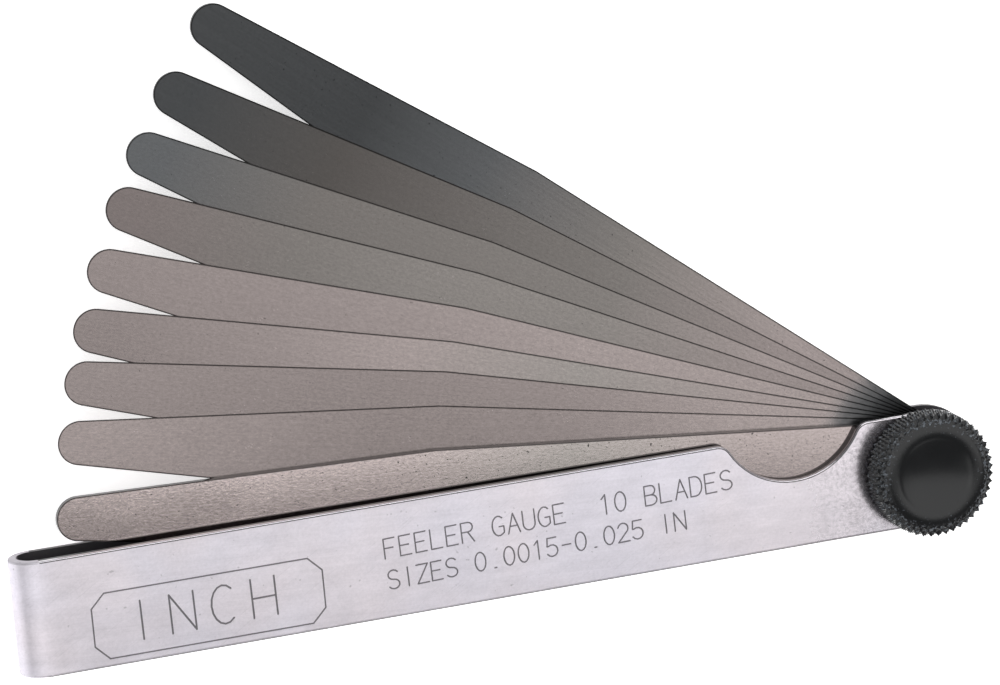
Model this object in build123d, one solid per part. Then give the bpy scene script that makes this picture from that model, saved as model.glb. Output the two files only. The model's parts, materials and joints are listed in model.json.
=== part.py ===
"""Ten-blade feeler gauge: a folded sheet-steel case, ten tapered blades on one
clamp screw, and a knurled knob that locks them.

Millimetres. +Z is up, out of the knob's face. The origin is on the pivot axis,
on the flat outer face of the screw's head, where the gauge rests. The case runs
along -X to its folded end, and the blades fan out towards +Y.
"""
import math
import os

from build123d import *

os.makedirs("parts", exist_ok=True)

# ---------------------------------------------------------------- case
SHEET = 0.9                # thickness of the folded strip
CASE_WIDTH = 12.5          # across the cheeks
CASE_FOLD_X = -101.25      # outermost point of the fold
CASE_TOP_Z = 5.57          # outer face of the front cheek where it is clamped
CASE_BACK_Z = 1.35         # outer face of the back cheek, which is flat
CASE_FOLD_HEIGHT = 5.57    # over the fold, which holds the cheeks apart
CLAMP_FLAT_X = -9.0        # where the front cheek turns flat for the clamp
CASE_END_CENTRE_X = 1.06   # centre of the rounded pivot end
CASE_END_RADIUS = CASE_WIDTH / 2

# thumb notch through both cheeks' upper edge
NOTCH_CENTRE_X = -14.7
NOTCH_RADIUS = 8.35
NOTCH_BOTTOM_Y = 1.2
NOTCH_SHOULDER = 1.7

# ---------------------------------------------------------------- clamp screw
HEAD_DIA = 9.6
HEAD_CHAMFER = 0.3
NECK_SQUARE = 4.6
SHANK_DIA = 3.9
SCREW_TIP_Z = 7.85
HOLE_FRONT_DIA = 4.2
NECK_CLEAR = 0.03          # gap all round the square neck in the back cheek

# ---------------------------------------------------------------- blades
PIVOT_TO_TIP = 96.2
BLADE_WIDTH = 10.2
TAPER_START = 55.1         # from the pivot, where the straight taper begins
TIP_RADIUS = 2.36
BLADE_HOLE_DIA = 4.0
LEAF_GAP = 0.02
INCH = 25.4
# name, thickness in inches, angle out of the case at rest (degrees), back to front
BLADES = [
    ("blade_15_thou", 0.015, 38.7),
    ("blade_12_thou", 0.012, 33.8),
    ("blade_10_thou", 0.010, 29.6),
    ("blade_8_thou", 0.008, 25.9),
    ("blade_6_thou", 0.006, 21.8),
    ("blade_4_thou", 0.004, 17.9),
    ("blade_3_thou", 0.003, 14.5),
    ("blade_2_thou", 0.002, 10.65),
    ("blade_1_5_thou", 0.0015, 5.8),
    ("blade_25_thou", 0.025, 5.8),
]

# ---------------------------------------------------------------- washer and knob
WASHER_DIA = 9.0
WASHER_THICK = 0.35
WASHER_HOLE = 4.05
KNOB_BASE_Z = CASE_TOP_Z + 0.02 + WASHER_THICK + 0.02
KNOB_TOP_Z = 9.3
KNOB_CREST_R = 6.9
KNOB_ROOT_R = 6.48
KNOB_TEETH = 44
KNOB_FACE_R = 5.95         # outer edge of the front annulus
KNOB_DISH_R = 4.35         # inner edge of the front annulus
KNOB_ANNULUS_DROP = 0.42
KNOB_DISH_DROP = 0.55      # further drop of the concave dish at its middle
INSERT_R = 3.3
INSERT_GROOVE_R = 2.95
INSERT_TOP_Z = 8.0
INSERT_HOLE = 4.0

# ---------------------------------------------------------------- engraving
CUT_DEPTH = 0.10
CUT_WIDTH = 0.17
CUT_OVER = 1.2             # how far the cutters stand above the face
LINE_ONE = ("FEELER GAUGE  10 BLADES", -61.4, 0.25, 2.15, 1.73, 1.7)
LINE_TWO = ("SIZES 0.0015-0.025 IN", -61.3, -3.15, 2.05, 1.62, 1.7)
PLATE_WORD = ("INCH", -89.6, -3.9, 4.2, 4.45, 0.8)
PLATE_BOX = (-93.6, -68.4, -5.35, 1.75, 1.5)   # x0, x1, y0, y1, corner clip


def arc_points(cx, cy, rx, ry, a0, a1, n=7):
    return [(cx + rx * math.cos(math.radians(a0 + (a1 - a0) * i / (n - 1))),
             cy + ry * math.sin(math.radians(a0 + (a1 - a0) * i / (n - 1))))
            for i in range(n)]


# single-stroke letters on a cell 0.62 wide and 1 high
W = 0.62
GLYPHS = {
    "A": [[(0, 0), (W / 2, 1), (W, 0)], [(0.12, 0.36), (W - 0.12, 0.36)]],
    "B": [[(0, 0), (0, 1), (0.34, 1)] + arc_points(0.34, 0.76, 0.22, 0.24, 90, -90)
          + [(0, 0.52)], [(0.34, 0.52)] + arc_points(0.34, 0.26, 0.28, 0.26, 90, -90) + [(0, 0)]],
    "C": [arc_points(0.33, 0.5, 0.33, 0.5, 50, 310, 13)],
    "D": [[(0, 0), (0, 1), (0.26, 1)] + arc_points(0.26, 0.5, 0.36, 0.5, 90, -90, 11) + [(0, 0)]],
    "E": [[(W - 0.05, 1), (0, 1), (0, 0), (W - 0.05, 0)], [(0, 0.52), (W - 0.16, 0.52)]],
    "F": [[(W - 0.05, 1), (0, 1), (0, 0)], [(0, 0.52), (W - 0.16, 0.52)]],
    "G": [arc_points(0.33, 0.5, 0.33, 0.5, 50, 300, 13) + [(0.6, 0.14), (0.6, 0.46), (0.36, 0.46)]],
    "H": [[(0, 0), (0, 1)], [(W, 0), (W, 1)], [(0, 0.5), (W, 0.5)]],
    "I": [[(W / 2, 0), (W / 2, 1)]],
    "L": [[(0, 1), (0, 0), (W - 0.05, 0)]],
    "N": [[(0, 0), (0, 1), (W, 0), (W, 1)]],
    "R": [[(0, 0), (0, 1), (0.36, 1)] + arc_points(0.36, 0.76, 0.24, 0.24, 90, -90)
          + [(0, 0.52)], [(0.32, 0.52), (W, 0)]],
    "S": [arc_points(0.31, 0.75, 0.28, 0.25, 30, 270, 10)
          + arc_points(0.31, 0.25, 0.3, 0.25, 90, -150, 10)],
    "U": [[(0, 1), (0, 0.32)] + arc_points(0.31, 0.31, 0.31, 0.31, 180, 360, 9) + [(W, 1)]],
    "Z": [[(0, 1), (W, 1), (0, 0), (W, 0)]],
    "0": [arc_points(0.31, 0.5, 0.29, 0.5, 90, 450, 17)],
    "1": [[(0.14, 0.8), (0.34, 1), (0.34, 0)]],
    "2": [arc_points(0.31, 0.72, 0.28, 0.28, 165, -30, 9) + [(0, 0), (W, 0)]],
    "5": [[(W - 0.06, 1), (0.08, 1), (0.04, 0.56)] + arc_points(0.29, 0.31, 0.31, 0.31, 125, -150, 11)],
    ".": [[(0.26, 0.02), (0.36, 0.02)]],
    "-": [[(0.08, 0.48), (0.54, 0.48)]],
    " ": [],
}


def stroke_face(points, width):
    """Outline of a round-ended stroke of constant width along a polyline."""
    slots = []
    for a, b in zip(points, points[1:]):
        run = math.dist(a, b)
        turn = math.degrees(math.atan2(b[1] - a[1], b[0] - a[0]))
        slots.append(Pos((a[0] + b[0]) / 2, (a[1] + b[1]) / 2)
                     * (Rot(0, 0, turn) * SlotCenterToCenter(run, width)))
    face = slots[0]
    if len(slots) > 1:
        face = face + slots[1:]
    return face


def engrave_text(spec, width):
    """One solid cutter per glyph of a line of text."""
    text, x0, y0, height, pitch, slope = spec
    cutters = []
    for i, ch in enumerate(text):
        strokes = []
        for stroke in GLYPHS[ch]:
            pts = []
            for px, py in stroke:
                p = (px * height, py * height)
                if not pts or math.dist(p, pts[-1]) > 0.05:
                    pts.append(p)
            strokes.append(stroke_face(pts, width))
        if not strokes:
            continue
        glyph = strokes[0] + strokes[1:] if len(strokes) > 1 else strokes[0]
        c, s = math.cos(math.radians(slope)), math.sin(math.radians(slope))
        at = (x0 + i * pitch * c, y0 + i * pitch * s, CASE_TOP_Z - CUT_DEPTH)
        body = extrude(glyph, CUT_DEPTH + CUT_OVER, dir=(0, 0, 1))
        cutters += (Location(at, (0, 0, slope)) * body).solids()
    return cutters


# ---------------------------------------------------------------- case solid
def make_case():
    ro = CASE_FOLD_HEIGHT / 2
    ri = ro - SHEET
    cx, cz = CASE_FOLD_X + ro, CASE_BACK_Z + ro
    end = CASE_END_CENTRE_X + CASE_END_RADIUS + 1.0
    rise = CASE_BACK_Z + CASE_FOLD_HEIGHT - CASE_TOP_Z
    ang = math.atan2(rise, CLAMP_FLAT_X - cx)
    # the sloped front cheek leaves the fold tangentially
    tx, tz = math.sin(ang), math.cos(ang)
    out0 = (cx + ro * tx, cz + ro * tz)
    in0 = (cx + ri * tx, cz + ri * tz)
    bend_out = (CLAMP_FLAT_X, CASE_TOP_Z)
    bend_in = (CLAMP_FLAT_X - SHEET * math.tan(ang / 2), CASE_TOP_Z - SHEET)
    outline = (
        Polyline((end, CASE_TOP_Z), bend_out, out0)
        + ThreePointArc(out0, (CASE_FOLD_X, cz), (cx, CASE_BACK_Z))
        + Polyline((cx, CASE_BACK_Z), (end, CASE_BACK_Z), (end, CASE_BACK_Z + SHEET),
                   (cx, CASE_BACK_Z + SHEET))
        + ThreePointArc((cx, CASE_BACK_Z + SHEET), (cx - ri, cz), in0)
        + Polyline(in0, bend_in, (end, CASE_TOP_Z - SHEET), (end, CASE_TOP_Z))
    )
    strip = extrude(Plane.XZ * make_face(outline), CASE_WIDTH / 2, both=True)

    # plan outline: rounded pivot end, thumb notch in the upper edge
    h = CASE_WIDTH / 2
    plan = Pos((CASE_FOLD_X - 1 + CASE_END_CENTRE_X) / 2, 0) * Rectangle(
        CASE_END_CENTRE_X - CASE_FOLD_X + 1, CASE_WIDTH)
    plan += Pos(CASE_END_CENTRE_X, 0) * Circle(CASE_END_RADIUS)
    plan -= Pos(NOTCH_CENTRE_X, NOTCH_BOTTOM_Y + NOTCH_RADIUS) * Circle(NOTCH_RADIUS)
    half = math.sqrt(NOTCH_RADIUS ** 2 - (NOTCH_BOTTOM_Y + NOTCH_RADIUS - h) ** 2)
    shoulders = [v for v in plan.vertices()
                 if abs(v.Y - h) < 1e-4 and abs(abs(v.X - NOTCH_CENTRE_X) - half) < 1e-3]
    plan = fillet(shoulders, NOTCH_SHOULDER)
    case = strip & extrude(plan, CASE_BACK_Z + CASE_FOLD_HEIGHT + 1)

    neck = Pos(0, 0, CASE_BACK_Z + SHEET / 2) * Box(
        NECK_SQUARE + 2 * NECK_CLEAR, NECK_SQUARE + 2 * NECK_CLEAR, SHEET + 0.6)
    hole = Pos(0, 0, CASE_TOP_Z - SHEET / 2) * Cylinder(HOLE_FRONT_DIA / 2, SHEET + 0.6)
    case = case - neck - hole

    cutters = (engrave_text(LINE_ONE, CUT_WIDTH) + engrave_text(LINE_TWO, CUT_WIDTH)
               + engrave_text(PLATE_WORD, CUT_WIDTH * 1.25))
    x0, x1, y0, y1, k = PLATE_BOX
    ring = [(x0 + k, y0), (x1 - k, y0), (x1, y0 + k), (x1, y1 - k), (x1 - k, y1), (x0 + k, y1),
            (x0, y1 - k), (x0, y0 + k), (x0 + k, y0)]
    frame = extrude(stroke_face(ring, CUT_WIDTH), CUT_DEPTH + CUT_OVER, dir=(0, 0, 1))
    cutters += (Pos(0, 0, CASE_TOP_Z - CUT_DEPTH) * frame).solids()
    # the lettering is drawn on a level face, then tipped on to the sloping cheek
    tip = Pos(*bend_out[:1], 0, CASE_TOP_Z) * Rot(0, math.degrees(ang), 0) * Pos(
        -bend_out[0], 0, -CASE_TOP_Z)
    for cutter in cutters:
        case = case - tip * cutter
    return case


# ---------------------------------------------------------------- blades
def make_blade(thickness):
    h = BLADE_WIDTH / 2
    cx = PIVOT_TO_TIP - TIP_RADIUS
    d = math.hypot(cx - TAPER_START, h)
    a = math.atan2(-h, cx - TAPER_START) + math.asin(TIP_RADIUS / d)
    reach = math.sqrt(d * d - TIP_RADIUS ** 2)
    tu, tv = TAPER_START + reach * math.cos(a), h + reach * math.sin(a)
    # drawn along -X so that the blade lies in the case at angle zero
    outline = (
        Polyline((0, h), (-TAPER_START, h), (-tu, tv))
        + ThreePointArc((-tu, tv), (-PIVOT_TO_TIP, 0), (-tu, -tv))
        + Polyline((-tu, -tv), (-TAPER_START, -h), (0, -h))
        + ThreePointArc((0, -h), (h, 0), (0, h))
    )
    face = make_face(outline) - Circle(BLADE_HOLE_DIA / 2)
    return extrude(face, thickness)


# ---------------------------------------------------------------- screw, washer, knob
def make_screw():
    head = chamfer(Cylinder(HEAD_DIA / 2, CASE_BACK_Z - 0.01,
                            align=(Align.CENTER, Align.CENTER, Align.MIN)).edges()
                   .filter_by(GeomType.CIRCLE).group_by(Axis.Z)[0], HEAD_CHAMFER)
    neck_top = CASE_BACK_Z + SHEET
    neck = Pos(0, 0, 0.5) * Box(NECK_SQUARE, NECK_SQUARE, neck_top - 0.5,
                                align=(Align.CENTER, Align.CENTER, Align.MIN))
    shank = Pos(0, 0, 1.0) * Cylinder(SHANK_DIA / 2, SCREW_TIP_Z - 1.0,
                                      align=(Align.CENTER, Align.CENTER, Align.MIN))
    shank = chamfer(shank.edges().filter_by(GeomType.CIRCLE).group_by(Axis.Z)[-1], 0.35)
    return head + neck + shank


def make_washer():
    z = CASE_TOP_Z + 0.02
    disc = Pos(0, 0, z) * Cylinder(WASHER_DIA / 2, WASHER_THICK,
                                   align=(Align.CENTER, Align.CENTER, Align.MIN))
    bore = Pos(0, 0, z - 0.5) * Cylinder(WASHER_HOLE / 2, WASHER_THICK + 1,
                                         align=(Align.CENTER, Align.CENTER, Align.MIN))
    return disc - bore


def knob_profile():
    """Half section of the knob's turned shape, from the axis outwards."""
    z0, z1 = KNOB_BASE_Z, KNOB_TOP_Z
    ring = z1 - KNOB_ANNULUS_DROP
    floor = ring - KNOB_DISH_DROP
    r = KNOB_CREST_R + 0.2
    # the dish is part of a sphere centred on the axis
    sphere = (KNOB_DISH_R ** 2 + KNOB_DISH_DROP ** 2) / (2 * KNOB_DISH_DROP)
    half = KNOB_DISH_R / 2
    half_z = floor + sphere - math.sqrt(sphere ** 2 - half ** 2)
    line = (
        Polyline((0, floor), (0, z0), (KNOB_CREST_R - 0.55, z0), (r, z0 + 0.5),
                 (r, z1 - 0.86), (KNOB_FACE_R, z1), (KNOB_DISH_R + 0.35, ring + 0.02),
                 (KNOB_DISH_R, ring))
        + ThreePointArc((KNOB_DISH_R, ring), (half, half_z), (0, floor))
    )
    return Plane.XZ * make_face(line)


def insert_profile():
    z0, z1 = KNOB_BASE_Z, INSERT_TOP_Z
    m = (z0 + z1) / 2
    pts = [(0, z0), (INSERT_R, z0), (INSERT_R, m - 0.35), (INSERT_GROOVE_R, m - 0.35),
           (INSERT_GROOVE_R, m + 0.35), (INSERT_R, m + 0.35), (INSERT_R, z1), (0, z1)]
    return Plane.XZ * make_face(Polyline(*pts, close=True))


def make_insert():
    body = revolve(insert_profile(), Axis.Z)
    bore = Pos(0, 0, KNOB_BASE_Z - 0.5) * Cylinder(INSERT_HOLE / 2, INSERT_TOP_Z - KNOB_BASE_Z + 1,
                                                   align=(Align.CENTER, Align.CENTER, Align.MIN))
    return body - bore


def make_knob():
    pts = []
    for i in range(KNOB_TEETH):
        for frac, r in ((0.0, KNOB_ROOT_R), (0.42, KNOB_CREST_R), (0.58, KNOB_CREST_R)):
            a = 2 * math.pi * (i + frac) / KNOB_TEETH
            pts.append((r * math.cos(a), r * math.sin(a)))
    star = extrude(Pos(0, 0, KNOB_BASE_Z - 0.5) * make_face(Polyline(*pts, close=True)),
                   KNOB_TOP_Z - KNOB_BASE_Z + 1)
    body = revolve(knob_profile(), Axis.Z) & star
    return body - revolve(insert_profile(), Axis.Z)


def save(shape, name, colour):
    solid = shape.solids()
    assert len(solid) == 1, (name, len(solid))
    s = solid[0]
    s.label = name
    s.color = Color(*colour)
    export_step(s, f"parts/{name}.step")
    print(f"{name:16s} volume {s.volume:10.3f}  box {s.bounding_box()}")


save(make_case(), "case", (0.80, 0.79, 0.81))
save(make_screw(), "clamp_screw", (0.62, 0.62, 0.63))
z = CASE_BACK_Z + SHEET + LEAF_GAP
for name, inches, angle in BLADES:
    t = inches * INCH
    blade = Pos(0, 0, z) * (Rot(0, 0, -angle) * make_blade(t))
    save(blade, name, (0.42, 0.41, 0.40))
    z += t + LEAF_GAP
assert z < CASE_TOP_Z - SHEET + 0.01, z
save(make_washer(), "knob_washer", (0.70, 0.70, 0.72))
save(make_insert(), "threaded_insert", (0.75, 0.60, 0.30))
save(make_knob(), "knurled_knob", (0.04, 0.04, 0.045))
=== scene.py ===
# %% [markdown]
# # A feeler gauge, from frame to finish
#
# A feeler gauge is a fan of thin steel blades that turn on one screw, folded into a plated sheet
# case and held by a black knurled knob. The packed CAD model gives every solid its place, so this
# lesson only loads it as a fixed frame and gives each part the finish that it has on a real
# gauge. Everything is in metres, with the blades lying flat and the knob on top.

import json
import math

import bmesh
import bpy
from mathutils import Matrix, Vector


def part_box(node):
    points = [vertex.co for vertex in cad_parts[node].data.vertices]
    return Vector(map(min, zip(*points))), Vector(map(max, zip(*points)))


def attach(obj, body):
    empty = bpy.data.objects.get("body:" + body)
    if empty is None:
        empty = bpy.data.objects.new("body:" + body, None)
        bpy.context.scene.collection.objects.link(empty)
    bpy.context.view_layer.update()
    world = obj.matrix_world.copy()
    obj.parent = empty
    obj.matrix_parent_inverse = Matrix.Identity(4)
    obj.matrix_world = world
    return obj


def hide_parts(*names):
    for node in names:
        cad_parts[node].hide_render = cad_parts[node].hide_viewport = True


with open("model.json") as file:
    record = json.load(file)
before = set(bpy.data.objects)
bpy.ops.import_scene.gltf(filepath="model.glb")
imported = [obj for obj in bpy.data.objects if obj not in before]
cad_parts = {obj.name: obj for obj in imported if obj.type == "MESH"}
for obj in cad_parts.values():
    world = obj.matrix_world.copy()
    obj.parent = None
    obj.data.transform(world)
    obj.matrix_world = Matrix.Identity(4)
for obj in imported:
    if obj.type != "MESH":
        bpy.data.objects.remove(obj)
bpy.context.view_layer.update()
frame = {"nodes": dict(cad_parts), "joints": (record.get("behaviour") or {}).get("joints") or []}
nodes = frame["nodes"]
MM = 0.001                       # one millimetre, in metres
print("nodes:", ", ".join(sorted(nodes)))

# %% [markdown]
# ## The camera
#
# The gauge is looked down on from its upper left, about 25 degrees off the vertical, with a long
# lens that hardly narrows what is further off. A Track To constraint could aim the camera, but it
# can't roll the view, so the camera's three axes are written as a matrix, from its line of sight
# and an up hint.

# %% Camera
CAMERA_AT = Vector((-220.68, 162.45, 603.32)) * MM
LINE_OF_SIGHT = Vector((0.27299, -0.22105, -0.93628)).normalized()
UP_HINT = Vector((0.1505, 0.9711, -0.1854))
FOCAL_LENGTH, SENSOR_WIDTH = 217.5, 36     # mm
NEAREST, FURTHEST = 0.01, 20     # m, what the camera draws between


def aimed_camera(place, sight, up_hint, focal):
    """A camera at a place, looking along a line, with the hinted direction up in its view."""
    data = bpy.data.cameras.new("camera")
    data.lens, data.sensor_width = focal, SENSOR_WIDTH
    data.clip_start, data.clip_end = NEAREST, FURTHEST
    right = sight.cross(up_hint).normalized()
    axes = Matrix((right, right.cross(sight), -sight)).transposed()
    made = bpy.data.objects.new("camera", data)
    made.matrix_world = Matrix.Translation(place) @ axes.to_4x4()
    bpy.context.scene.collection.objects.link(made)
    return made


camera = aimed_camera(CAMERA_AT, LINE_OF_SIGHT, UP_HINT, FOCAL_LENGTH)
bpy.context.scene.camera = camera
print("camera is %.0f mm from the pivot" % (CAMERA_AT.length / MM))

# %% [markdown]
# ## Shader maths
#
# A finish is a small sum over the surface: a base tone, times a mottle, darker where there is a
# pit. Wiring Math nodes by hand hides that sum, so one class wraps a socket and lets Python's own
# operators add the nodes. Colours go through Mix, because a Math node would turn them grey. The
# last methods make the patterns that every finish here is built from: noise over scaled and
# turned coordinates, and a bump.

# %% A socket that does sums
class Wire:
    """An output socket of a material, which arithmetic and node() work on."""

    def __init__(self, socket):
        self.socket = socket

    def node(self, kind, settings, inputs, output=0):
        """Adds a node: its settings first, then the values or links of its sockets."""
        tree = self.socket.id_data
        made = tree.nodes.new(kind)
        for name, value in settings.items():
            if name == "stops":
                spare = made.color_ramp.elements
                while len(spare) < len(value):
                    spare.new(1.0)
                for stop, (place, colour) in zip(spare, value):
                    stop.position, stop.color = place, (*colour, 1.0)
            else:
                setattr(made, name, value)
        for name, value in inputs.items():
            socket = made.inputs[name]
            if isinstance(value, Wire):
                tree.links.new(value.socket, socket)
            else:
                socket.default_value = value
        return Wire(made.outputs[output])

    def maths(self, operation, *values):
        """One Math node on these values, of which this wire is usually the first."""
        return self.node("ShaderNodeMath", {"operation": operation}, dict(enumerate(values)))

    def __add__(self, other):
        return self.maths("ADD", self, other)

    def __sub__(self, other):
        return self.maths("SUBTRACT", self, other)

    def __rsub__(self, other):
        return self.maths("SUBTRACT", other, self)

    def __mul__(self, other):
        return self.maths("MULTIPLY", self, other)

    def __pow__(self, other):
        return self.maths("POWER", self, other)

    __radd__, __rmul__ = __add__, __mul__

    def least(self, other):
        """The smaller of the two."""
        return self.maths("MINIMUM", self, other)

    def most(self, other):
        """The larger of the two."""
        return self.maths("MAXIMUM", self, other)

    def absolute(self):
        """This value without its sign."""
        return self.maths("ABSOLUTE", self)

    def rise(self, low, high):
        """0 below low, 1 above high, and smooth between. It falls where low is the larger."""
        return self.node("ShaderNodeMapRange", {"interpolation_type": "SMOOTHSTEP"},
                         {"Value": self, "From Min": low, "From Max": high})

    def choose(self, below, above):
        """The first value where this mask is 0, and the second where it is 1."""
        return self.node("ShaderNodeMix", {"data_type": "FLOAT"},
                         {0: self, 2: below, 3: above})

    def tint(self, below, above):
        """The first colour where this mask is 0, and the second where it is 1."""
        return self.node("ShaderNodeMix", {"data_type": "RGBA"},
                         {0: self, 6: below, 7: above}, 2)

    def shade(self, amount):
        """This colour made lighter or darker by a value."""
        return self.node("ShaderNodeMix", {"data_type": "RGBA", "blend_type": "MULTIPLY"},
                         {0: 1.0, 6: self, 7: amount}, 2)

    def parts(self):
        """The three parts of this vector."""
        split = self.node("ShaderNodeSeparateXYZ", {}, {0: self}).socket.node
        return [Wire(socket) for socket in split.outputs]

    def placed(self, turn=0.0, scale=(1, 1, 1)):
        """These coordinates scaled, then turned about Z."""
        return self.node("ShaderNodeMapping", {},
                         {0: self, "Rotation": (0, 0, turn), "Scale": scale})

    def noise(self, scale, detail=2.0, rough=0.5, stretch=(1, 1, 1)):
        """Soft noise from 0 to 1 over these coordinates, with its middle at 0.5."""
        return self.node("ShaderNodeTexNoise", {},
                         {"Vector": self.placed(0.0, stretch), "Scale": scale,
                          "Detail": detail, "Roughness": rough})

    def bumped(self, depth):
        """A normal from this height, where 1 stands for depth metres."""
        return self.node("ShaderNodeBump", {},
                         {"Height": self, "Distance": depth, "Strength": 1.0})


print("shader sums:", ", ".join(name for name in vars(Wire) if not name.startswith("__")))


# %% A new finish, and how a piece gets it
def finish(name, **constants):
    """A new material: its shader, its Object coordinates in mm, and its surface normal."""
    made = bpy.data.materials.new(name)
    made.use_nodes = True
    shader = made.node_tree.nodes["Principled BSDF"]
    for socket, value in constants.items():
        shader.inputs[socket.replace("_", " ")].default_value = value
    coordinates = made.node_tree.nodes.new("ShaderNodeTexCoord")
    place = Wire(coordinates.outputs["Object"]).placed(0.0, (1 / MM,) * 3)
    normal = Wire(made.node_tree.nodes.new("ShaderNodeNewGeometry").outputs["Normal"])
    return made, shader, place, normal


def connect(shader, **wires):
    """Links values to the shader's sockets by name."""
    for socket, wire in wires.items():
        shader.id_data.links.new(wire.socket, shader.inputs[socket.replace("_", " ")])


def dress(piece, material):
    """Puts one material on a piece."""
    piece.data.materials.clear()
    piece.data.materials.append(material)
    print("%s gets %s" % (piece.name, material.name))


# %% [markdown]
# ## Blade steel
#
# The ten blades are cut from hardened strip and tempered, so each has its own tone, from a cold
# blue-grey on the thickest to a warm light grey. Part of that tone, and of how it changes along
# the blade, is painted reflection of the room at each blade's angle. An image texture could be
# wrapped on, but a blade is so plain that a ramp along its length, a lengthwise grain and a few
# pits say it all, and they stay sharp at any size. The pattern lies in the blade's own directions,
# u along it from the pivot and v across it, which a Mapping node turns from Object coordinates.

# %% The outline of a blade, in its own u and v
HALF_WIDTH = 5.1                 # mm
TAPER_FROM, TIP_CENTRE, TIP_RADIUS = 55.1, 93.84, 2.36
TAPER_ANGLE = math.atan((HALF_WIDTH - TIP_RADIUS) / (TIP_CENTRE - TAPER_FROM))
HAND_OVER = 0.3                  # mm, along which a round end takes over from the straight sides
print("a blade tapers by %.1f degrees a side" % math.degrees(TAPER_ANGLE))


def distance_inside(u, v):
    """How far a point of a blade is from its outline, in mm."""
    off = v.absolute()
    side = HALF_WIDTH - off
    taper = (side - (u - TAPER_FROM) * math.tan(TAPER_ANGLE)) * math.cos(TAPER_ANGLE)
    past_tip = u - TIP_CENTRE
    tip = TIP_RADIUS - (past_tip * past_tip + v * v) ** 0.5
    root = HALF_WIDTH - (u * u + v * v) ** 0.5
    straight = side.least(taper)
    far = u.rise(TIP_CENTRE, TIP_CENTRE + HAND_OVER).choose(straight, tip)
    return u.rise(-HAND_OVER, 0.0).choose(root, far)


# %% [markdown]
# ### From tone to dirt and painted shade
#
# One function makes every blade's steel. The tone follows five colours along the blade, partly the
# steel's own tone and partly painted reflection. Over it lie a fine grain, soft blotches, streaks
# from rolling, scuffs and small pits, then a dark line along the outline, which is painted shade
# where each blade lies on the next, and near the screw, where the blades overlap, soot together
# with painted shade. The narrow side walls are painted dark as shade. Four numbers say how worn a
# blade is, so one recipe gives both a dull old blade and the bright one in front.

# %% The recipe for a blade's steel
FIRST_TONE, LAST_TONE = 20.0, 92.0         # mm from the pivot
TONE_PLACES = (0, 0.28, 0.56, 0.76, 1)     # of the way from the first tone to the last
LENGTHWISE = (0.7, 1.2, 1)                 # a grain a little longer than it is wide
# the colour of the soot and painted shade at the blades' roots
SOOT_AND_SHADE_COLOUR = (0.30, 0.31, 0.32, 1)
print("tones at", *(round(FIRST_TONE + part * (LAST_TONE - FIRST_TONE)) for part in TONE_PLACES))


def blade_steel(name, angle, tones_and_reflections, pits=0.1, streaks=0.12, polish=0.0, soot_and_shade=1.0):
    """Tempered strip, with its wear: pits, rolling streaks, polish and soot with painted shade go
    from 0 to 1.
    """
    made, shader, place, normal = finish(name, Metallic=1.0, Specular_IOR_Level=0.5)
    turned = place.placed(-angle, (-1, 1, 1))
    u, v, _ = turned.parts()
    # the colour ramp along the blade: the steel's own tone, partly painted reflection of the room
    length = (u - FIRST_TONE) * (1 / (LAST_TONE - FIRST_TONE))
    colour = length.node("ShaderNodeValToRGB", {"stops": list(zip(TONE_PLACES, tones_and_reflections))},
                         {0: length})
    grain = turned.noise(3.4, 4, 0.75, LENGTHWISE)
    blotch = turned.noise(0.22, 3, 0.6, LENGTHWISE)
    streak = turned.noise(1.0, 3, 0.65, (0.08, 5.0, 1))
    fleck = turned.noise(3.4, 1, 0.5).rise(0.77 - 0.065 * pits, 0.81 - 0.065 * pits)
    scuff = turned.noise(1.5, 4, 0.75, (0.35, 2.2, 1)).rise(0.60, 0.78)
    inside = distance_inside(u, v)
    # painted shade: a dark line along each blade's outline, where it lies on the next
    painted_edge_shade = inside.rise(0.17, 0.09)
    # painted shade: the narrow side walls made dark, as the shade of the gaps between blades
    side = normal.parts()[2].absolute().rise(0.7, 0.3)
    # soot near the screw, together with painted shade where the blades overlap under the knob
    root_soot_and_shade = soot_and_shade * (u + 5 * blotch).rise(14.5, 9.0)
    colour = root_soot_and_shade.tint(colour, SOOT_AND_SHADE_COLOUR)
    tone = (0.55 + 0.74 * grain + 0.16 * blotch) * (1 + streaks * (streak - 0.5))
    tone = tone * (1 + 0.35 * streaks * scuff) * (1 - (0.40 + 0.45 * pits) * fleck)
    tone = tone * (1 - 0.82 * painted_edge_shade) * (1 - 0.85 * side) * (1 - 0.80 * root_soot_and_shade)
    rough = (0.15 + 0.10 * blotch + 0.09 * grain) * (1 - polish) + 0.12 * root_soot_and_shade
    relief = 0.6 * grain + 0.4 * (1 - polish) * streak - 0.5 * fleck
    relief = relief.bumped((0.004 - 0.002 * polish) * MM)
    connect(shader, Base_Color=colour.shade(tone), Roughness=rough, Normal=relief)
    return made


# %% One finish for each blade
HUES = {"w": (1.0, 0.862, 0.836), "p": (1.0, 0.925, 0.875), "c": (0.955, 0.995, 1.03)}
# how light each blade is at its five tones, root to tip, partly painted reflection, and whether
# each is warm, plain or cold
TONES_AND_REFLECTIONS = {
    "blade_15_thou": ("wpccc", 0.295, 0.171, 0.079, 0.041, 0.045),
    "blade_12_thou": ("wpppc", 0.256, 0.160, 0.107, 0.068, 0.048),
    "blade_10_thou": ("wpppc", 0.304, 0.181, 0.155, 0.136, 0.093),
    "blade_8_thou": ("wpppw", 0.271, 0.214, 0.194, 0.161, 0.153),
    "blade_6_thou": ("wwwww", 0.330, 0.310, 0.269, 0.246, 0.232),
    "blade_4_thou": ("wpwww", 0.331, 0.283, 0.317, 0.263, 0.227),
    "blade_3_thou": ("wwwww", 0.347, 0.267, 0.249, 0.253, 0.269),
    "blade_2_thou": ("wwwww", 0.357, 0.270, 0.255, 0.292, 0.342),
    "blade_1_5_thou": ("wwwww", 0.330, 0.280, 0.280, 0.280, 0.290),
    "blade_25_thou": ("wpwww", 0.350, 0.340, 0.468, 0.594, 0.679),
}
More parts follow.
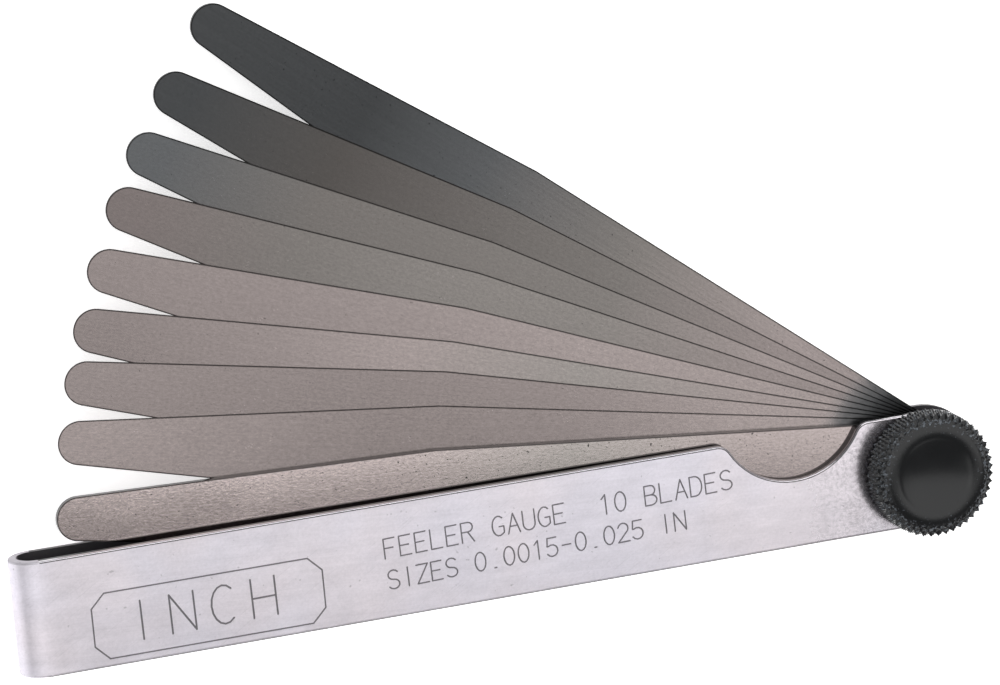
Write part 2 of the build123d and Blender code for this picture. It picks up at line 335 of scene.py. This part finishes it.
# the blades that differ from the recipe's usual wear and painted shade
WEAR = {
    "blade_15_thou": {"pits": 0.7, "streaks": 0.34},
    "blade_12_thou": {"pits": 0.3, "streaks": 0.18},
    "blade_10_thou": {"pits": 0.2},
    "blade_25_thou": {"pits": 1.0, "streaks": 0.06, "polish": 0.65, "soot_and_shade": 0.0},
}
rest_angle = {joint["child"]: math.radians(-joint["range_deg"][0]) for joint in frame["joints"]
              if joint["name"].endswith("thou_hinge")}
for blade, (hues, *levels) in TONES_AND_REFLECTIONS.items():
    tones_and_reflections = [tuple(level * part for part in HUES[hue]) for hue, level in zip(hues, levels)]
    steel = blade_steel(blade + "_steel", rest_angle[blade], tones_and_reflections, **WEAR.get(blade, {}))
    dress(nodes[blade], steel)
print("blade steels:", len(TONES_AND_REFLECTIONS))

# %% [markdown]
# ## The plated case
#
# The case is one strip of sheet folded over the blades, nickel plated, then handled for years.
# Its shape is already right, but its edges are as sharp as a drawing, and a real sheared edge
# catches the light along its whole length. A Bevel modifier would round every sharp edge, the
# letters' and the holes' too, so a merged copy of the case is made, and only the long edges that
# look out of the fold are picked and bevelled.

# %% A closed copy of the case
FOLD_CENTRE_X, FOLD_CENTRE_Z = -98.465, 4.135      # mm, the middle of the fold's bend
PIVOT_CLEAR = 5.3                                  # mm, outside the holes under the washer
WELD = 0.001                                       # mm, points this close are one
FLAT_WITHIN, SHARP_FROM = math.radians(0.2), math.radians(60)
SHEARED_WALL = 0.5                                 # mm, taller than the walls of the letters


def merged_copy(node):
    """A CAD node's loose triangles joined into a closed mesh, with its flat parts made whole."""
    made = bmesh.new()
    made.from_mesh(nodes[node].data)
    bmesh.ops.remove_doubles(made, verts=made.verts, dist=WELD * MM)
    bmesh.ops.dissolve_limit(made, angle_limit=FLAT_WITHIN, verts=made.verts,
                             edges=made.edges, use_dissolve_boundaries=False)
    return made


def height_of(face):
    """How tall a face stands, in mm."""
    levels = [v.co.z for v in face.verts]
    return (max(levels) - min(levels)) / MM


def is_outer(face):
    """Whether a face looks out of the folded strip, not into the case."""
    centre = face.calc_center_median() / MM
    out = Vector((min(0.0, centre.x - FOLD_CENTRE_X), 0, centre.z - FOLD_CENTRE_Z))
    return face.normal.dot(out) > 0


def on_bend(face):
    """Whether a face is on the fold's bend."""
    return face.calc_center_median().x < FOLD_CENTRE_X * MM


def flatness(face):
    """How much a face is the strip's own surface and not a wall. That is level, and on the bend
    it looks along X as well."""
    return abs(face.normal.z) + abs(face.normal.x) * on_bend(face)


def is_rim(edge):
    """Whether an edge is a sheared one on the outside of the strip."""
    if len(edge.link_faces) != 2 or edge.calc_face_angle() < SHARP_FROM:
        return False
    wall, flat = sorted(edge.link_faces, key=flatness)
    middle = (edge.verts[0].co + edge.verts[1].co) / 2 / MM
    clear = math.hypot(middle.x, middle.y) > PIVOT_CLEAR
    return height_of(wall) > SHEARED_WALL and is_outer(flat) and clear


case_mesh = merged_copy("case")
rim = [edge for edge in case_mesh.edges if is_rim(edge)]
print("case: %d faces, %d rim edges" % (len(case_mesh.faces), len(rim)))

# %% Round the sheared edge
EDGE_ROUND, ROUND_STEPS = 0.25, 3                  # mm, and how many faces go round it
SIDEWAYS = 0.1                                     # the most in Y of the strip's own normals
bmesh.ops.bevel(case_mesh, geom=rim, offset=EDGE_ROUND * MM, offset_type="OFFSET",
                segments=ROUND_STEPS, profile=0.5, affect="EDGES", material=-1,
                clamp_overlap=False)
for face in case_mesh.faces:
    face.smooth = on_bend(face) and abs(face.normal.y) < SIDEWAYS
case_data = bpy.data.meshes.new("folded_case")
case_mesh.to_mesh(case_data)
case_mesh.free()
case = bpy.data.objects.new("folded_case", case_data)
bpy.context.scene.collection.objects.link(case)
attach(case, "case")
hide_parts("case")
print("folded case faces:", len(case_data.polygons))

# %% [markdown]
# ## Nickel plate
#
# Old plating is bright but never a mirror: smudges and fine rubbing break up what it reflects,
# the stamped letters are painted darker as shade in their grooves, and the sheared edges carry a
# painted highlight. Each zone could have a material slot of its own, but their borders would be
# hard, so one metal covers the case, and masks tell the zones apart. They come from how deep a
# point lies under the front face, how far along the case it is, and which way the surface looks.

# %% Case finish
FACE_AT_CLAMP = 5.57                               # mm, the front face's height at the screw
CLAMP_FLAT = -9.0                                  # mm, it is level from here to the screw's end
FACE_SLOPE = math.tan(math.radians(0.864))         # and rises from here to the fold


def nickel_plate():
    """Nickel plate: a rubbed face, letters in painted shade, a painted highlight on the sheared
    edge and a dull inside in painted shade.
    """
    made, shader, place, normal = finish("nickel_plate", Metallic=1.0)
    x, _, z = place.parts()
    # the normal's part across the strip, its part upwards, and how level the surface lies
    _, across, facing = normal.parts()
    level = facing.absolute()
    depth = FACE_AT_CLAMP + FACE_SLOPE * (CLAMP_FLAT - x).most(0.0) - z
    # the patterns, from wide smudges to fine grain
    smudge = place.noise(0.16, 4, 0.62, (1, 1.4, 1))
    cloud = place.noise(0.45, 3, 0.6, (0.5, 1.6, 1))
    hue = place.noise(0.07, 2, 0.5)
    rubbing = place.placed(0.06).noise(1.2, 4, 0.72, (0.10, 4.0, 1))
    scratch = place.placed(-0.55).noise(1.5, 3, 0.7, (0.10, 4.5, 1)).rise(0.58, 0.72)
    grain = place.noise(3.0, 4, 0.72)
    fleck = place.noise(1.7, 1, 0.5).rise(0.75, 0.80)
    mottle = place.noise(2.6, 3, 0.7).rise(0.42, 0.66) * x.rise(-17.0, -6.5)
    # the zones
    straight = x.rise(FOLD_CENTRE_X - 0.1, FOLD_CENTRE_X)
    # painted shade: the stamped letters' grooves made darker
    shaded_letters = depth.rise(0.03, 0.08) * depth.rise(0.2, 0.12) * straight
    # painted shade: the inside faces of the cheeks made dark, and rougher as dull plate
    dull_shaded_inside = (facing.rise(-0.3, -0.7) * z.rise(3.4, 3.8)).most(
        facing.rise(0.3, 0.7) * z.rise(3.8, 3.4))
    bend = x.rise(FOLD_CENTRE_X + 1.5, FOLD_CENTRE_X - 1.0)
    by_knob = x.rise(-17.0, -9.0)
    # painted highlight: the rounded lower rim made lighter
    painted_lower_rim_light = across.rise(-0.10, -0.40) * facing.rise(0.05, 0.20) * straight
    # painted shade: the rim of the fold made darker
    painted_fold_rim_shade = across.rise(0.10, 0.35) * (1 - straight)
    upper = across.rise(0.02, 0.10) * straight
    # painted reflection: a dark line where the front face turns into its rounded edge
    painted_dark_edge_line = level.rise(0.90, 0.95) * level.rise(0.995, 0.98) * upper
    # painted shade: the lower part of the sheared walls made near black, as the shadow of the gap
    # under the cheek
    painted_gap_shade = depth.rise(0.22, 0.36) * level.rise(0.40, 0.20) * straight
    # painted highlight: the sheared walls made lighter
    painted_edge_highlight = level.rise(0.85, 0.75) * straight * (1 - shaded_letters) * (1 - painted_gap_shade)
    shaded = depth.rise(0.005, 0.015) * depth.rise(0.13, 0.11) * across.rise(-0.25, -0.5)
    # what each pattern and zone does to the plate
    colour = hue.rise(0.35, 0.65).tint((0.690, 0.645, 0.685, 1), (0.665, 0.640, 0.700, 1))
    tone = 0.62 + 0.20 * smudge + 0.26 * cloud + 0.32 * grain + 0.18 * rubbing
    tone = tone * (1 - 0.25 * fleck) * (1 - 0.10 * scratch) * (1 - 0.22 * mottle)
    tone = tone * (1 - 0.74 * shaded_letters) * (1 - 0.85 * shaded) * (1 - 0.90 * dull_shaded_inside)
    tone = tone * (1 - 0.88 * painted_dark_edge_line) * (1 + 0.55 * painted_edge_highlight) * (1 - 0.97 * painted_gap_shade)
    tone = tone * (1 + 0.45 * painted_lower_rim_light * (1 - shaded_letters)) * (1 - 0.45 * painted_fold_rim_shade)
    rough = (0.22 + 0.12 * smudge + 0.08 * rubbing + 0.05 * scratch) * (1 - 0.3 * by_knob)
    rough = rough + 0.25 * dull_shaded_inside + 0.20 * bend
    relief = (0.5 * grain + 0.5 * rubbing - 0.8 * fleck).bumped(0.003 * MM)
    connect(shader, Base_Color=colour.shade(tone), Roughness=rough, Normal=relief)
    return made


dress(case, nickel_plate())

# %% [markdown]
# ## Screw, washer and insert
#
# Behind the case a turned screw head shows, with the fine rings that a lathe leaves, and under
# the knob sit a pressed washer and the knob's brass insert. Rings could be cut as geometry, but
# they are a hundredth of a millimetre deep, so the distance from the pivot drives a bump. A
# little of the height is added to that distance, so that upright walls have rings as well.

# %% Turned metal
def turned_metal(name, colour, rings, rough):
    """Metal from a lathe, with rings round the pivot. More rings are finer ones."""
    made, shader, place, _ = finish(name, Metallic=1.0)
    x, y, z = place.parts()
    along = (x * x + y * y) ** 0.5 + 0.35 * z
    ring = along.node("ShaderNodeCombineXYZ", {}, {0: along}).noise(rings, 3, 0.7)
    stain = place.noise(0.7, 3, 0.6)
    fleck = place.noise(3.0, 1, 0.5).rise(0.72, 0.80)
    tone = (0.78 + 0.24 * ring + 0.16 * stain) * (1 - 0.4 * fleck)
    base = stain.rise(0.3, 0.7).tint((*colour, 1), (*[c * 0.88 for c in colour], 1))
    relief = (ring - 0.6 * fleck).bumped(0.006 * MM)
    connect(shader, Base_Color=base.shade(tone), Roughness=rough + 0.15 * stain, Normal=relief)
    return made


dress(nodes["clamp_screw"], turned_metal("screw_steel", (0.62, 0.60, 0.585), 7.0, 0.26))
dress(nodes["knob_washer"], turned_metal("washer_steel", (0.55, 0.53, 0.52), 5.0, 0.34))
dress(nodes["threaded_insert"], turned_metal("insert_brass", (0.72, 0.52, 0.24), 6.0, 0.28))

# %% [markdown]
# ## The knurled knob
#
# The knob is moulded in black plastic with a diamond knurl, a rounded lip and a dished face. The
# knurl could be a bump, but its points show in the outline, so it is real: a profile is spun
# round the axis, every second point of the knurled band is pulled out, and the low points are
# joined across each face. That makes four-sided points, as two crossing screw cuts do. The knurl
# runs on over the chamfer under the lip, where its points grow shorter.

# %% Knob profile
TEETH = 48
KNURL_DEPTH, FIRST_ROW, ROW_STEP, SIDE_ROWS = 0.46, 0.14, 0.50, 6      # mm, and how many
knob_low, knob_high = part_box("knurled_knob")
BASE_Z, TOP_Z = knob_low.z / MM, knob_high.z / MM
CREST = knob_high.x / MM         # mm, the radius at the knurl's points
ROOT = CREST - KNURL_DEPTH
BORE, SOCKET, SOCKET_TOP = 2.0, 3.3, 8.0           # mm, radii of screw and insert, and its top
# each row of the knurl from the base up: the radius at its low points, its height, and how far
# its points stand out; the last two rows lie on the chamfer
ROWS = [(ROOT, BASE_Z + FIRST_ROW + ROW_STEP * i, CREST - ROOT) for i in range(SIDE_ROWS)]
ROWS += [(6.14, TOP_Z - 0.44, 0.26), (5.82, TOP_Z - 0.23, 0.14)]
print("knob from %.2f to %.2f mm, radius %.2f" % (BASE_Z, TOP_Z, CREST))

# %% The lip, the dish and the whole half profile
LIP = [(5.48, TOP_Z - 0.10), (5.28, TOP_Z - 0.03), (5.00, TOP_Z), (4.70, TOP_Z),
       (4.42, TOP_Z - 0.02), (4.20, TOP_Z - 0.07), (4.02, TOP_Z - 0.15)]
DISH_DEEP, DISH_EDGE = 0.62, LIP[-1]               # mm
DISH_STEPS = (3.7, 3.1, 2.4, 1.6, 0.8, 0.0)        # mm, the radii of its rings of points
ball_radius = (DISH_EDGE[0] ** 2 + DISH_DEEP ** 2) / (2 * DISH_DEEP)


def dish_height(r):
    """The height of the dished face at a radius, on a ball that meets the lip's inner edge."""
    bottom = DISH_EDGE[1] - DISH_DEEP
    return bottom + ball_radius - math.sqrt(ball_radius ** 2 - r * r)


dish = [(r, dish_height(r)) for r in DISH_STEPS]
underside = [(0.0, SOCKET_TOP), (BORE, SOCKET_TOP), (SOCKET, SOCKET_TOP), (SOCKET, BASE_Z),
             (CREST - 1.0, BASE_Z), (ROOT - 0.15, BASE_Z)]
profile = underside + [(radius, z) for radius, z, _ in ROWS] + LIP + dish
print("profile points: %d, the dish's ball: %.1f mm" % (len(profile), ball_radius))


# %% Spin, pull out the points, join the low ones
JOIN_WITHIN = 0.002                                # mm, joins the points on the axis
HEIGHT_SLACK, RADIUS_SLACK = 0.01, 0.02            # mm, how near a point is to its row
SMOOTH_WITHIN = 5.6                                # mm, the lip and the dish


def spun(points, steps):
    """A solid of revolution about the pivot's axis, from a half profile in mm."""
    made = bmesh.new()
    verts = [made.verts.new((r * MM, 0, z * MM)) for r, z in points]
    edges = [made.edges.new(pair) for pair in zip(verts, verts[1:])]
    bmesh.ops.spin(made, geom=verts + edges, cent=(0, 0, 0), axis=(0, 0, 1),
                   angle=2 * math.pi, steps=steps, use_merge=True, use_duplicate=False)
    bmesh.ops.remove_doubles(made, verts=made.verts, dist=JOIN_WITHIN * MM)
    bmesh.ops.recalc_face_normals(made, faces=made.faces)
    return made


def row_of(vert):
    """Which row of the knurl a point is in, or None."""
    reach = math.hypot(vert.co.x, vert.co.y) / MM
    near = [i for i, (radius, z, _) in enumerate(ROWS)
            if abs(vert.co.z / MM - z) < HEIGHT_SLACK and abs(reach - radius) < RADIUS_SLACK]
    return near[0] if near else None


knob_mesh = spun(profile, 2 * TEETH)
low_points = []
for vert in knob_mesh.verts:
    row = row_of(vert)
    if row is None:
        continue
    column = round(math.atan2(vert.co.y, vert.co.x) / math.pi * TEETH)
    if (row + column) % 2:
        radius, _, pull = ROWS[row]
        vert.co.xy *= 1 + pull / radius
    else:
        low_points.append(vert)
bmesh.ops.connect_verts(knob_mesh, verts=low_points)
for face in knob_mesh.faces:
    reach = max(math.hypot(v.co.x, v.co.y) for v in face.verts)
    face.smooth = reach < SMOOTH_WITHIN * MM
knob_data = bpy.data.meshes.new("knurled_knob_moulding")
knob_mesh.to_mesh(knob_data)
knob_mesh.free()
knob = bpy.data.objects.new("knurled_knob_moulding", knob_data)
bpy.context.scene.collection.objects.link(knob)
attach(knob, "knob")
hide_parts("knurled_knob")
print("knob faces:", len(knob_data.polygons))

# %% [markdown]
# ## Black plastic
#
# Moulded phenolic is a deep black with a trace of blue and a soft shine, uneven where fingers have
# turned it, and chipped and dusty in the knurl. Black shows mostly what it reflects, so a pattern
# of colours would add little: its roughness and bump do nearly all the work, with pale specks in
# the knurl that are partly chips and partly painted glints.

# %% Knob finish
BLACK_GREEN, BLACK_BLUE = 1.13, 1.30               # times the red part


def black_moulding():
    """Old black plastic: a worn sheen, with chips, painted glints and dust in the knurl."""
    made, shader, place, _ = finish("black_moulding", IOR=1.5, Specular_IOR_Level=0.38)
    x, y, _ = place.parts()
    radius = (x * x + y * y) ** 0.5
    wear = place.noise(0.45, 4, 0.6)
    orange_peel = place.noise(3.2, 2, 0.5)
    dust = place.noise(4.5, 3, 0.6).rise(0.62, 0.74)
    band = radius.rise(5.5, 5.7)
    # pale specks in the knurl: partly chips, partly painted glints
    chips_and_glints = place.noise(2.6, 2, 0.7).rise(0.52, 0.64)
    sheen = place.noise(3.4, 1, 0.5).rise(0.66, 0.74) * radius.rise(4.3, 5.0)
    base = 0.003 + 0.002 * wear + 0.08 * chips_and_glints * band + 0.05 * sheen + 0.010 * dust * band
    colour = base.node("ShaderNodeCombineColor", {},
                       {0: base, 1: BLACK_GREEN * base, 2: BLACK_BLUE * base})
    rough = 0.20 + 0.10 * wear - 0.06 * band
    relief = (orange_peel + 0.5 * dust + 12 * chips_and_glints * band).bumped(0.004 * MM)
    connect(shader, Base_Color=colour, Roughness=rough, Normal=relief)
    return made


dress(knob, black_moulding())

# %% [markdown]
# ## Floor and studio light
#
# Polished metal only looks right when it has something to reflect. One large softbox hangs level,
# high on the knob's side and beyond the blades, with its near edge placed so that the case and
# the front blade mirror it. The room on the near side stays darker, which draws the dished face
# of the knob. On the left a wide box adds a soft gloss and a small bright one adds sparks, and two
# low ones light the upright walls at the front and back. A plain white floor and an even pale
# room do the rest.

# %% A light
def soft_light(name, centre, towards, size, radiance):
    """A rectangular light of a size in metres. Its energy grows with its area, so that the same
    radiance looks equally bright on any size."""
    data = bpy.data.lights.new(name, "AREA")
    data.shape, data.size, data.size_y = "RECTANGLE", *size
    data.energy = radiance * math.pi * size[0] * size[1]
    made = bpy.data.objects.new(name, data)
    made.location = centre
    made.rotation_euler = (Vector(towards) - Vector(centre)).to_track_quat("-Z", "Y").to_euler()
    made.visible_camera = False
    bpy.context.scene.collection.objects.link(made)
    return made


def overhead(turn, edge, size):
    """The middle of a level softbox, turned about Z, with one long edge through a point."""
    across = Vector((-math.sin(turn), math.cos(turn), 0))
    return Vector(edge) + across * size[1] / 2


# %% Five lights
BOX_TURN, BOX_EDGE = math.radians(-10), (0.26, -0.212, 0.80)
BOX_SIZE, BOX_RADIANCE = (1.6, 1.0), 1.45
box_at = overhead(BOX_TURN, BOX_EDGE, BOX_SIZE)
softbox = soft_light("overhead_softbox", box_at, box_at - Vector((0, 0, 1)), BOX_SIZE,
                     BOX_RADIANCE)
softbox.rotation_euler = (0, 0, BOX_TURN)

# the lights that look at the pivot: place, size and radiance
AIMED_LIGHTS = {
    "left_softbox": ((-0.62, -0.22, 0.75), (0.80, 0.90), 0.85),
    "spark_light": ((-0.90, 0.12, 0.30), (0.13, 0.13), 6.0),
    "low_softbox": ((0.15, -0.90, 0.33), (1.3, 0.32), 1.1),
    "back_softbox": ((0.25, 0.95, 0.35), (1.3, 0.40), 2.4),
}
for light, (light_at, light_size, radiance) in AIMED_LIGHTS.items():
    soft_light(light, light_at, (0, 0, 0), light_size, radiance)
print("lights:", ", ".join(["overhead_softbox", *AIMED_LIGHTS]))

# %% Floor and room
FLOOR_HALF = 3.0                 # m
FLOOR_GAP = 0.00005              # m, keeps the floor from sharing a face with the screw's head
FLOOR_GLOW, ROOM_STRENGTH, ROOM_COLOUR = 0.60, 0.25, (1.0, 0.99, 0.99, 1)
floor_data = bpy.data.meshes.new("floor")
floor_mesh = bmesh.new()
bmesh.ops.create_grid(floor_mesh, x_segments=1, y_segments=1, size=FLOOR_HALF,
                      matrix=Matrix.Translation((0, 0, -FLOOR_GAP)))
floor_mesh.to_mesh(floor_data)
floor_mesh.free()
floor = bpy.data.objects.new("floor", floor_data)
bpy.context.scene.collection.objects.link(floor)
dress(floor, finish("white_floor", Base_Color=(0.9, 0.9, 0.9, 1), Roughness=0.9,
                    Emission_Color=(1, 1, 1, 1), Emission_Strength=FLOOR_GLOW)[0])

room = bpy.data.worlds.new("room")
room.use_nodes = True
background = room.node_tree.nodes["Background"]
background.inputs["Color"].default_value = ROOM_COLOUR
background.inputs["Strength"].default_value = ROOM_STRENGTH
bpy.context.scene.world = room
bpy.context.scene.view_settings.view_transform = "Standard"

# %% [markdown]
